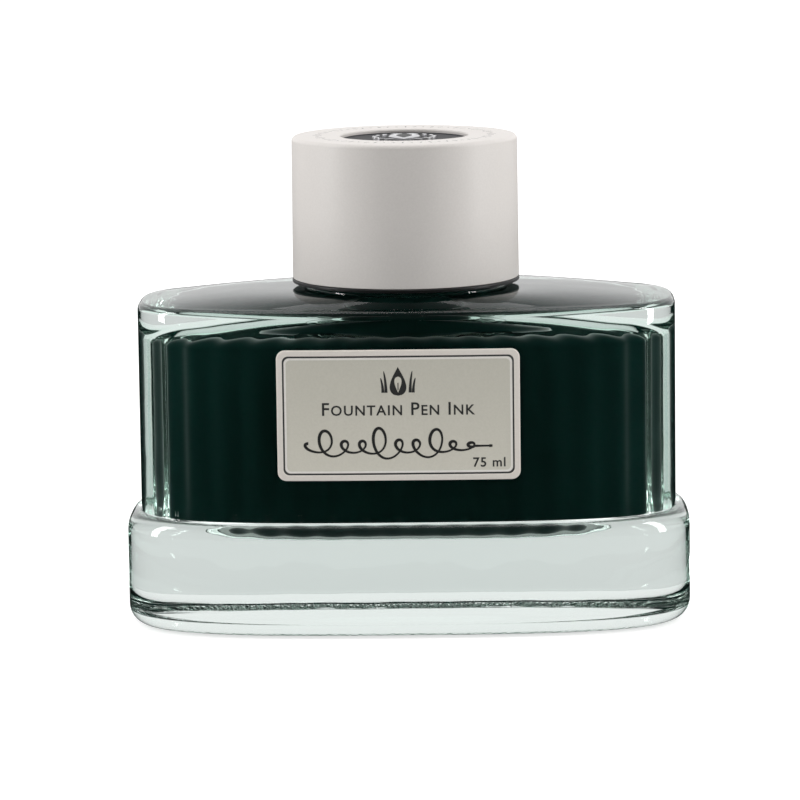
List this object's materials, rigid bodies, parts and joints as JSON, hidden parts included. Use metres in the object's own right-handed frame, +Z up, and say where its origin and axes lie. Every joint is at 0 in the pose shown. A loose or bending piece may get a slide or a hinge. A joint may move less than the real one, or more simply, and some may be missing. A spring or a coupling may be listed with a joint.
{
  "type": "inkwell",
  "caption": "Wide obround glass ink bottle on a thick stepped base, filled with dark green ink, with a front label and a round screw cap that turns and lifts off the neck.",
  "frame": {"origin": "centre of the underside, on the neck's axis, at the surface the bottle stands on", "axes": "+Z up along the neck, +X along the bottle's wide side, the label faces -Y"},
  "size_m": [0.093, 0.044, 0.0799],
  "materials": {
    "bottle_glass": "clear moulded glass with a slight green tint",
    "green_ink": "dark green liquid ink",
    "label_card": "uncoated light grey card with an embossed rim",
    "liner_foam": "matt closed-cell foam",
    "insert_plastic": "black moulded plastic",
    "cap_lacquer": "satin warm light grey",
    "badge_enamel": "dark satin disc",
    "emblem_silver": "bright silver"
  },
  "bodies": {
    "bottle": {"glass_bottle": "bottle_glass", "ink_fill": "green_ink", "front_label": "label_card"},
    "seal": {"sealing_liner": "liner_foam"},
    "cap": {"threaded_insert": "insert_plastic", "cap_cover": "cap_lacquer", "badge_disc": "badge_enamel", "badge_emblem": "emblem_silver"}
  },
  "joints": [
    {"name": "cap_lift", "type": "slide", "parent": "bottle", "child": "seal", "axis": [0, 0, 1], "range_m": [0, 0.0241]},
    {"name": "cap_turn", "type": "hinge", "parent": "seal", "child": "cap", "pos_m": [0, 0, 0.072], "axis": [0, 0, 1], "range_deg": [0, 1080]}
  ],
  "couplings": [
    {"joint": "cap_lift", "follows": "cap_turn", "m_per_rad": 0.0012732}
  ]
}
